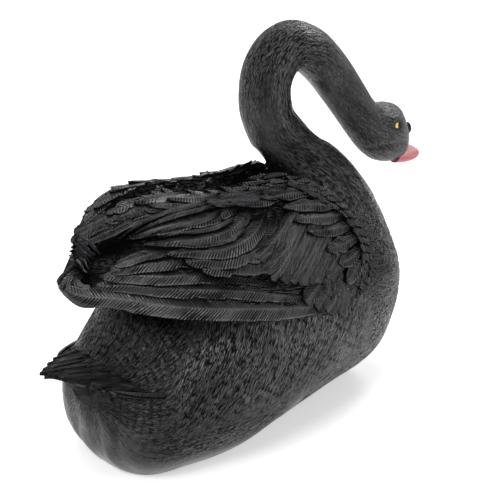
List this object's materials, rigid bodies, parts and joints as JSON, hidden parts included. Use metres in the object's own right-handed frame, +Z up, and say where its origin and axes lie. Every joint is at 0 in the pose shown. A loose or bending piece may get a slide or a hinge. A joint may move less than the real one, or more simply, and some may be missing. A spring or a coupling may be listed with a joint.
{
  "type": "swan figurine",
  "caption": "Cast resin swan with carved feathers, an arched neck and raised wings, on a flat base for standing or floating.",
  "frame": {"origin": "middle of the bounding box at the level of the flat base", "axes": "+X from the tail towards the bill, +Y across the wings, +Z up"},
  "size_m": [0.2748, 0.1248, 0.2271],
  "materials": {
    "black_resin": "satin black paint over cast resin",
    "bill_paint": "hand-painted red, paler towards the tip",
    "eye_paint": "hand-painted yellow with a black pupil"
  },
  "bodies": {
    "root": {"swan_figurine": "black_resin"}
  },
  "joints": []
}
